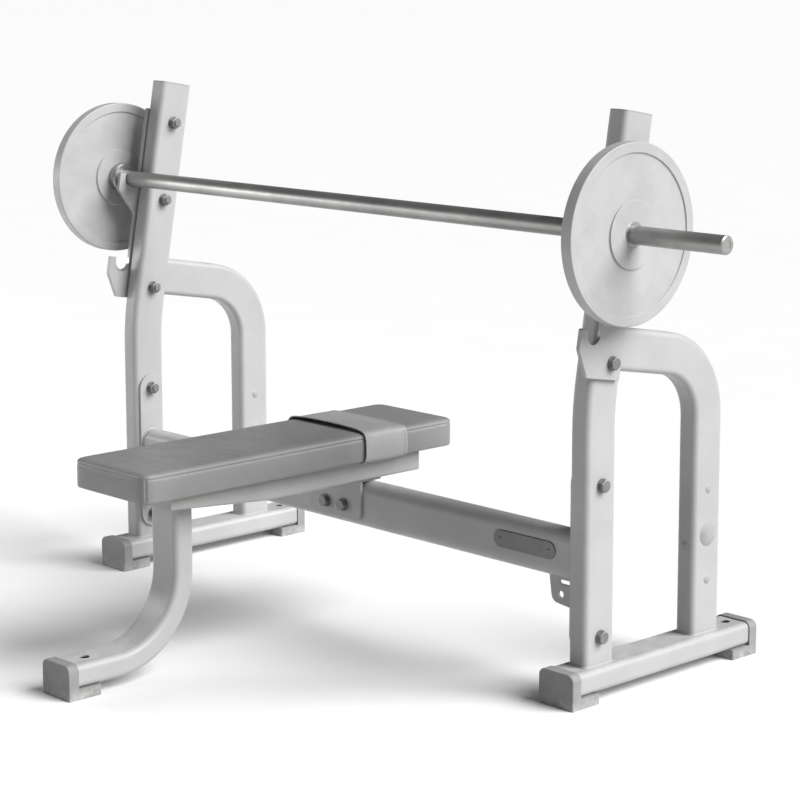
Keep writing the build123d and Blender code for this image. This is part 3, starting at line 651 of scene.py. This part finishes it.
def stitches(name, path, pitch, length, radius):
    """Small raised stitches along a path of (point, outward direction)."""
    points = []
    faces = []
    travelled = distances(path)
    count = int(travelled[-1] / pitch)
    last_ring = (len(STITCH_RINGS) - 1) * STITCH_SIDES
    for number in range(count):
        middle_at = (number + 0.5) * travelled[-1] / count
        centre, out, direction = station(path, travelled, middle_at, length / 2)
        side = direction.cross(out).normalized()
        lift = side.cross(direction).normalized()
        first = len(points)
        for t, girth, rise in STITCH_RINGS:
            hub = centre + direction * (t * length / 2) + lift * (rise * radius)
            for s in range(STITCH_SIDES):
                turn = 2 * math.pi * s / STITCH_SIDES
                points.append(hub + (side * math.cos(turn) + lift * math.sin(turn)) * radius * girth)
        for ring in range(first, first + last_ring, STITCH_SIDES):
            for s in range(STITCH_SIDES):
                a = ring + s
                b = ring + (s + 1) % STITCH_SIDES
                faces.append([a, b, b + STITCH_SIDES, a + STITCH_SIDES])
        faces.append([first + s for s in reversed(range(STITCH_SIDES))])
        faces.append([first + last_ring + s for s in range(STITCH_SIDES)])
    made = mesh_object(name, points, faces, THREAD)
    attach(made, "frame")
    return made


def distances(path):
    """Distance from the path's start to each of its points."""
    spacing = [(path[n + 1][0] - path[n][0]).length for n in range(len(path) - 1)]
    return np.concatenate(([0.0], np.cumsum(spacing)))


def station(path, travelled, distance, reach):
    """Point, outward direction and running direction at a distance, the last read over reach each way."""
    centre, out = along(path, travelled, distance)
    ahead, _ = along(path, travelled, min(distance + reach, travelled[-1]))
    behind, _ = along(path, travelled, max(distance - reach, 0.0))
    return centre, out, (ahead - behind).normalized()


def along(path, travelled, distance):
    """Point and outward direction at a distance along the path."""
    n = min(max(int(np.searchsorted(travelled, distance)) - 1, 0), len(path) - 2)
    span = travelled[n + 1] - travelled[n]
    t = 0.0 if span == 0 else (distance - travelled[n]) / span
    point = path[n][0].lerp(path[n + 1][0], t)
    out = path[n][1].lerp(path[n + 1][1], t)
    return point, out.normalized()


def row_loop(grid, points, row, blend):
    """Closed path round the cushion, blend of the way from one row to the next."""
    normals = normals_of(points, grid.faces)
    last_i, last_j, _ = grid.last
    ring = [(i, 0) for i in range(last_i)] + [(last_i, j) for j in range(last_j)]
    ring += [(i, last_j) for i in range(last_i, 0, -1)] + [(0, j) for j in range(last_j, 0, -1)]
    path = []
    for i, j in ring + ring[:1]:
        a, b = grid.number[(i, j, row)], grid.number[(i, j, row + 1)]
        path.append((points[a].lerp(points[b], blend), normals[a].lerp(normals[b], blend).normalized()))
    return path


# ------------------------------------------------------------------------- wrap
WRAP_LOW, WRAP_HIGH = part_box("pad_wrap")
WRAP_THICK = 3.0 * MM
WRAP_LIP = 21 * MM        # tucked under each side
WRAP_STEP = 3.0 * MM
WRAP_EASE = 0.5 * MM      # between the wrap and the cushion everywhere
LIP_EASE = 0.4 * MM       # between the lips and the cushion's underside
FLARE = 3.6 * MM          # the front edge stands off by this
FLARE_REACH = 11 * MM     # it fades out over about this
CROWN = 4.0 * MM          # the top stands off by this in the middle of the front edge
CROWN_RUN = 60 * MM       # and comes down to the cushion over this before the rear edge
WAVE = 0.5 * MM           # unevenness of the wrap
HEM = 9 * MM
HEM_THICK = 0.7 * MM


def section_keys(grid):
    """Grid lines that run the cushion's length, in order across it: up the left side, over and down."""
    last_i, _, last_k = grid.last
    left = [(0, k) for k in range(1, last_k + 1)]
    top = [(i, last_k) for i in range(1, last_i)]
    right = [(last_i, k) for k in range(last_k, 0, -1)]
    return left + top + right


def cushion_section(grid, points, y):
    """The cushion's outline across X at one y."""
    outline = []
    for i, k in section_keys(grid):
        line = [points[grid.number[(i, j, k)]] for j in range(grid.last[1] + 1)]
        ys = [p.y for p in line]
        x = float(np.interp(y, ys, [p.x for p in line]))
        z = float(np.interp(y, ys, [p.z for p in line]))
        outline.append(Vector((x, z)))
    return outline


def wrap_section(grid, points, y):
    """Inner outline of the wrap at one y, as (x, z) points with outward directions."""
    outline = cushion_section(grid, points, y)
    floor = CUSHION_LOW.z - LIP_EASE
    side = abs(outline[0].x)
    lip_end = side - WRAP_LIP
    left = [Vector((x, floor)) for x in (-lip_end, -lip_end - WRAP_LIP * 0.45, -side + 3.0 * MM)]
    right = [Vector((-p.x, p.y)) for p in reversed(left)]
    outline = left + outline + right
    result = []
    for n, p in enumerate(outline):
        before = outline[max(n - 1, 0)]
        after = outline[min(n + 1, len(outline) - 1)]
        tangent = (after - before).normalized()
        result.append((p, Vector((-tangent.y, tangent.x))))
    return result


def wrap_rows(grid, points):
    """Inner and outer points of the wrap, one row for each section from its front edge to its rear."""
    count = round((WRAP_HIGH.y - WRAP_LOW.y) / WRAP_STEP)
    inner = []
    outer = []
    for n in range(count + 1):
        y = WRAP_LOW.y + (WRAP_HIGH.y - WRAP_LOW.y) * n / count
        from_front = y - WRAP_LOW.y
        to_rear = WRAP_HIGH.y - y
        hem = HEM_THICK * (1 - smoothstep(from_front, HEM - 1 * MM, HEM + 1 * MM))
        hem += HEM_THICK * (1 - smoothstep(to_rear, HEM - 1 * MM, HEM + 1 * MM))
        thick = (WRAP_THICK + hem) * (0.55 + 0.45 * smoothstep(to_rear, 0.0, 2.5 * MM))
        inner_row = []
        outer_row = []
        for p, out in wrap_section(grid, points, y):
            over = max(out.y, 0.0)
            outside = smoothstep(p.y, CUSHION_LOW.z, CUSHION_LOW.z + 14 * MM)
            across = 1 - min(abs(p.x) / CUSHION_HIGH.x, 1.0) ** 2
            gap = WRAP_EASE + CROWN * over * across * smoothstep(to_rear, 0.0, CROWN_RUN)
            gap += FLARE * outside * math.exp(-from_front / FLARE_REACH)
            wave = noise.noise(Vector((p.x * 14, y * 30, p.y * 14))) * WAVE * outside
            gap += max(wave, -0.2 * MM)
            low = p + out * gap
            high = p + out * (gap + thick)
            inner_row.append(Vector((low.x, y, low.y)))
            outer_row.append(Vector((high.x, y, high.y)))
        inner.append(inner_row)
        outer.append(outer_row)
    return inner, outer


def band_faces(rows, width):
    """Faces of a thick band whose outer points come row by row before its inner points."""
    shift = rows * width
    faces = []
    for r in range(rows - 1):
        for c in range(width - 1):
            a, b = r * width + c, (r + 1) * width + c
            faces.append([a, b, b + 1, a + 1])
            faces.append([a + shift, a + 1 + shift, b + 1 + shift, b + shift])
    for c in range(width - 1):
        faces.append([c, c + 1, c + 1 + shift, c + shift])
        last = (rows - 1) * width + c
        faces.append([last, last + shift, last + 1 + shift, last + 1])
    for r in range(rows - 1):
        a, b = r * width, (r + 1) * width
        faces.append([a, a + shift, b + shift, b])
        a, b = a + width - 1, b + width - 1
        faces.append([a, b, b + shift, a + shift])
    return faces


def make_wrap(grid, points):
    """Thick vinyl band over the head end: open at its front edge, hemmed at both, tucked under."""
    inner, outer = wrap_rows(grid, points)
    rows, width = len(inner), len(inner[0])
    vertices = [p for row in outer for p in row] + [p for row in inner for p in row]
    wrap = mesh_object("wrap", vertices, band_faces(rows, width), MATERIALS["wrap_vinyl"])
    subdivide_once(wrap)
    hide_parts("pad_wrap")
    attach(wrap, "frame")
    hem_rows = round(HEM / WRAP_STEP)
    for n, line in enumerate((hem_rows, rows - 1 - hem_rows)):
        edge = [(outer[line][c], inner[line][c]) for c in range(2, width - 2)]
        path = [(high, (high - low).normalized()) for high, low in edge]
        stitches(f"wrap_stitches_{n}", path, *WRAP_STITCH)


# ----------------------------------------------------------------- weld beads
BEAD = 2.6 * MM           # radius of a bead
BEAD_FLAT = 0.8           # its height for its width
BEAD_SIDES = 8
BEAD_STEP = 1.3 * MM
BEAD_RINGS = 8            # a bead has at least so many steps
RIPPLE_PITCH = 3.4 * MM
RIPPLE = 0.10             # share of the bead's radius


def bead(name, path, closed):
    """Fillet weld along a path of (point, direction away from both plates): rippled, slightly uneven."""
    points = []
    faces = []
    travelled = distances(path)
    count = max(BEAD_RINGS, int(travelled[-1] / BEAD_STEP))
    for number in range(count + (0 if closed else 1)):
        distance = travelled[-1] * number / count
        centre, out, direction = station(path, travelled, distance, 1 * MM)
        side = direction.cross(out).normalized()
        ripple = 1 + RIPPLE * math.sin(distance * 2 * math.pi / RIPPLE_PITCH)
        ripple += RIPPLE * noise.noise(centre * 160)
        for s in range(BEAD_SIDES):
            turn = 2 * math.pi * s / BEAD_SIDES
            spoke = side * math.cos(turn) + out * math.sin(turn) * BEAD_FLAT
            points.append(centre + spoke * BEAD * ripple)
    total = len(points)
    rings = total // BEAD_SIDES
    for ring in range(rings if closed else rings - 1):
        for s in range(BEAD_SIDES):
            a = ring * BEAD_SIDES + s
            b = ring * BEAD_SIDES + (s + 1) % BEAD_SIDES
            faces.append([a, b, (b + BEAD_SIDES) % total, (a + BEAD_SIDES) % total])
    if not closed:
        faces.append([s for s in reversed(range(BEAD_SIDES))])
        faces.append([total - BEAD_SIDES + s for s in range(BEAD_SIDES)])
    made = mesh_object(name, points, faces, WELD)
    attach(made, "frame")
    return made


def round_rectangle(centre, along_x, along_y, size, radius, per_corner=8):
    """Closed path of a rounded rectangle in 3-D with outward directions."""
    half = (size[0] / 2 - radius, size[1] / 2 - radius)
    path = []
    for quarter, (sx, sy) in enumerate(((1, 1), (-1, 1), (-1, -1), (1, -1))):
        for n in range(per_corner + 1):
            turn = math.pi / 2 * (quarter + n / per_corner)
            out = along_x * math.cos(turn) + along_y * math.sin(turn)
            path.append((centre + along_x * (sx * half[0]) + along_y * (sy * half[1]) + out * radius, out))
    return path + path[:1]


TUBE_NARROW = 50 * MM
TUBE_WIDE = 90 * MM
TUBE_RADIUS = 13 * MM
LEG_TOP_DROP = 233.3 * MM     # from the upper rest down the lean to the middle of the loop leg's end
REST_TO_UPRIGHT = 66 * MM     # from the upper rest back to the middle of the upright
NARROW_FLAT = TUBE_NARROW - 16 * MM   # the flat of the tube's narrow face that a leg's top is welded along
WELD_OUT = 0.6 * MM           # a bead's middle stands this far off the plate it runs on
X_AXIS, Y_AXIS, Z_AXIS = Vector((1, 0, 0)), Vector((0, 1, 0)), Vector((0, 0, 1))


def leaning_out(path, tilt):
    """The path's outward directions tilted towards tilt, for a bead in the corner between two plates."""
    return [(p, (out + tilt).normalized()) for p, out in path]


def make_welds():
    """Beads round the feet of the uprights and loop legs, and at the legs' tops and the beam's ends."""
    base_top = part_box("right_base_tube")[1].z
    upright_y = middle("right_beam_end_plate").y
    leg_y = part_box("right_rear_leg")[1].y - TUBE_WIDE / 2
    for side, sign in (("right", 1), ("left", -1)):
        x = sign * abs(middle(side + "_base_tube").x)
        for name, y in (("upright", upright_y), ("leg", leg_y)):
            foot = Vector((x, y, base_top + WELD_OUT))
            loop = round_rectangle(foot, X_AXIS, Y_AXIS, (TUBE_NARROW, TUBE_WIDE), TUBE_RADIUS)
            bead(f"{side}_{name}_weld", leaning_out(loop, Z_AXIS), True)
        make_leg_top_weld(side, x)
        make_beam_weld(side, sign)


def make_leg_top_weld(side, x):
    """Bead where the loop leg meets the back of the leaning upright."""
    back = Vector((0, math.cos(LEAN), -math.sin(LEAN)))
    start = Vector((x, UPPER_REST.y, UPPER_REST.z)) - UP_LEAN * LEG_TOP_DROP
    start += back * (REST_TO_UPRIGHT + TUBE_WIDE / 2 + 0.4 * MM)
    loop = round_rectangle(start, X_AXIS, UP_LEAN, (NARROW_FLAT, TUBE_WIDE), 5 * MM)
    flats = [(p, out) for p, out in loop if abs(out.dot(UP_LEAN)) > 0.99]
    top = [(p, out) for p, out in flats if out.dot(UP_LEAN) > 0]
    bottom = [(p, out) for p, out in flats if out.dot(UP_LEAN) < 0]
    for name, path in (("top", top), ("bottom", bottom)):
        bead(f"{side}_leg_{name}_weld", leaning_out(path, back), False)


def make_beam_weld(side, sign):
    """Bead round the crossbeam's end against its end plate."""
    low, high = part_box("crossbeam")
    centre = (low + high) / 2
    centre.x = sign * (high.x - WELD_OUT)
    size = (high.y - low.y, high.z - low.z)
    loop = round_rectangle(centre, Y_AXIS, Z_AXIS, size, size[0] / 2 - 0.5 * MM, 12)
    bead(f"{side}_beam_weld", leaning_out(loop, X_AXIS * -sign), True)


# ----------------------------------------------------------------- scene setup
KEY_STRENGTH = 6.4
KEY_AZIMUTH = math.radians(24)
KEY_HEIGHT = math.radians(40)
KEY_SPREAD = math.radians(45)
FILL_WATTS = 85.0
FILL_PLACE = (-2.2, -1.4, 1.0)
FILL_RADIUS = 0.45
ROOM_STRENGTH = 0.10
FLOOR_RADIUS = 150.0
CAMERA_PLACE = (3.886, -3.332, 1.523)
CAMERA_AZIMUTH = math.radians(46.684)
CAMERA_PITCH = math.radians(-8.884)
CAMERA_ROLL = math.radians(-0.076)
CAMERA_LENS = 104.86      # mm, on a 36 mm sensor
CAMERA_SHIFT = -0.10


def make_fill():
    """Large soft globe to the left of the bench's foot end, for the faces turned away from the key."""
    data = bpy.data.lights.new("fill", "POINT")
    data.shadow_soft_size = FILL_RADIUS
    data.energy = FILL_WATTS
    lamp = bpy.data.objects.new("fill", data)
    lamp.location = FILL_PLACE
    lamp.visible_camera = False
    bpy.context.scene.collection.objects.link(lamp)


def make_lights():
    """A broad key from the right, a fill and a dim, even room; the camera sees the room as white."""
    key = bpy.data.lights.new("key", "SUN")
    key.energy = KEY_STRENGTH
    key.angle = KEY_SPREAD
    lamp = bpy.data.objects.new("key", key)
    towards = Vector((math.cos(KEY_AZIMUTH), math.sin(KEY_AZIMUTH), math.tan(KEY_HEIGHT)))
    lamp.rotation_euler = towards.to_track_quat("Z", "Y").to_euler()
    bpy.context.scene.collection.objects.link(lamp)
    make_fill()
    world = bpy.data.worlds.new("studio")
    world.use_nodes = True
    tree = world.node_tree
    seen = tree.nodes["Background"]
    seen.inputs["Color"].default_value = (1, 1, 1, 1)
    seen.inputs["Strength"].default_value = 1.0
    room = tree.nodes.new("ShaderNodeBackground")
    room.inputs["Color"].default_value = (1, 1, 1, 1)
    room.inputs["Strength"].default_value = ROOM_STRENGTH
    blend = tree.nodes.new("ShaderNodeMixShader")
    tree.links.new(tree.nodes.new("ShaderNodeLightPath").outputs["Is Camera Ray"], blend.inputs["Fac"])
    tree.links.new(room.outputs[0], blend.inputs[1])
    tree.links.new(seen.outputs[0], blend.inputs[2])
    tree.links.new(blend.outputs[0], tree.nodes["World Output"].inputs["Surface"])
    bpy.context.scene.world = world


def make_floor():
    """Plain pale floor, wide enough to reach the horizon."""
    bm = bmesh.new()
    bmesh.ops.create_circle(bm, cap_ends=True, segments=96, radius=FLOOR_RADIUS)
    mesh = bpy.data.meshes.new("floor")
    bm.to_mesh(mesh)
    bm.free()
    g = Graph("floor_paint")
    tint = g.mix(g.ramp(g.noise(3.0, 3.0), 0.3, 0.7), grey(0.70), grey(0.71))
    mesh.materials.append(g.finish(Base_Color=tint, Roughness=0.9, Specular_IOR_Level=0.1))
    floor = bpy.data.objects.new("floor", mesh)
    floor.location.z = -0.2 * MM
    bpy.context.scene.collection.objects.link(floor)


def make_camera():
    """Camera at the photograph's angle."""
    data = bpy.data.cameras.new("camera")
    data.sensor_width = 36
    data.lens = CAMERA_LENS
    data.shift_y = CAMERA_SHIFT
    data.clip_end = 2.5 * FLOOR_RADIUS
    camera = bpy.data.objects.new("camera", data)
    ahead = Vector((-math.sin(CAMERA_AZIMUTH), math.cos(CAMERA_AZIMUTH), math.tan(CAMERA_PITCH)))
    turn = ahead.to_track_quat("-Z", "Y").to_matrix().to_4x4()
    camera.matrix_world = Matrix.Translation(CAMERA_PLACE) @ turn @ Matrix.Rotation(CAMERA_ROLL, 4, "Z")
    bpy.context.scene.collection.objects.link(camera)
    bpy.context.scene.camera = camera


dress_cad_nodes()
pad_grid, pad_points, seam_row = make_cushion()
top_stitch = row_loop(pad_grid, pad_points, seam_row + 1, 0.6)
stitches("cushion_stitches", top_stitch, *CUSHION_STITCH)
make_wrap(pad_grid, pad_points)
make_welds()
make_floor()
make_lights()
make_camera()
bpy.context.scene.view_settings.view_transform = "Standard"
